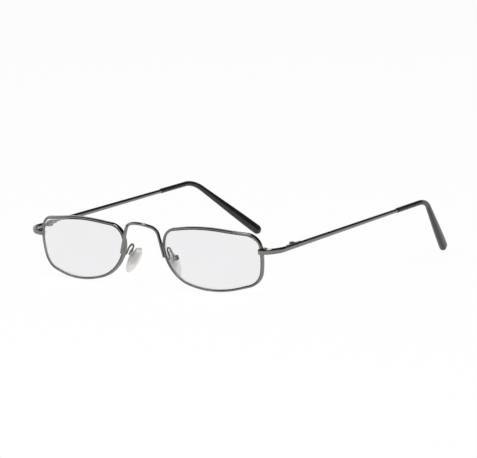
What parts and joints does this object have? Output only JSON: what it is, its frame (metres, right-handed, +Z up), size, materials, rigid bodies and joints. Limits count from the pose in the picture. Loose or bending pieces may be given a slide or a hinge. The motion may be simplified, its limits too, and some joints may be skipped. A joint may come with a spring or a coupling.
{
  "type": "reading glasses",
  "caption": "Folding reading glasses with a thin wire frame, low rounded-rectangle lenses, a raised wire bridge, rocking nose pads and wire temples with black plastic tips.",
  "frame": {"origin": "middle of the box around the open glasses, on the surface that they stand on", "axes": "+X to the wearer's left, +Y back along the temples, +Z up"},
  "size_m": [0.129, 0.148, 0.0267],
  "materials": {
    "gunmetal": "polished dark grey plating",
    "screw": "bright steel",
    "lens": "clear, polished",
    "tip": "glossy black",
    "pad": "clear soft pad, slightly cloudy"
  },
  "bodies": {
    "front": {"bridge": "gunmetal", "left_rim": "gunmetal", "left_lens": "lens", "left_end_piece": "gunmetal", "left_rim_lock_upper": "gunmetal", "left_rim_lock_lower": "gunmetal", "left_rim_lock_screw": "screw", "left_pad_arm": "gunmetal", "left_pad_box": "gunmetal", "left_pad_screw": "screw", "left_hinge_front_leaf": "gunmetal", "left_hinge_screw": "screw", "right_rim": "gunmetal", "right_lens": "lens", "right_end_piece": "gunmetal", "right_rim_lock_upper": "gunmetal", "right_rim_lock_lower": "gunmetal", "right_rim_lock_screw": "screw", "right_pad_arm": "gunmetal", "right_pad_box": "gunmetal", "right_pad_screw": "screw", "right_hinge_front_leaf": "gunmetal", "right_hinge_screw": "screw"},
    "left_temple_arm": {"left_temple": "gunmetal", "left_temple_tip": "tip", "left_hinge_temple_leaf": "gunmetal"},
    "left_nose_pad": {"left_pad": "pad", "left_pad_insert": "screw"},
    "right_temple_arm": {"right_temple": "gunmetal", "right_temple_tip": "tip", "right_hinge_temple_leaf": "gunmetal"},
    "right_nose_pad": {"right_pad": "pad", "right_pad_insert": "screw"}
  },
  "joints": [
    {"name": "left_temple_fold", "type": "hinge", "parent": "front", "child": "left_temple_arm", "pos_m": [0.06164, -0.05104, 0.01893], "axis": [0.0021, -0.0696, 0.9976], "range_deg": [0, 88]},
    {"name": "right_temple_fold", "type": "hinge", "parent": "front", "child": "right_temple_arm", "pos_m": [-0.06164, -0.05104, 0.01893], "axis": [0.0021, 0.0696, -0.9976], "range_deg": [0, 82]},
    {"name": "left_pad_rock", "type": "hinge", "parent": "front", "child": "left_nose_pad", "pos_m": [0.01183, -0.06166, 0.01149], "axis": [0.0343, 0.9971, -0.0676], "range_deg": [-8, 8]},
    {"name": "right_pad_rock", "type": "hinge", "parent": "front", "child": "right_nose_pad", "pos_m": [-0.01183, -0.06166, 0.01149], "axis": [-0.0343, 0.9971, -0.0676], "range_deg": [-8, 8]}
  ]
}
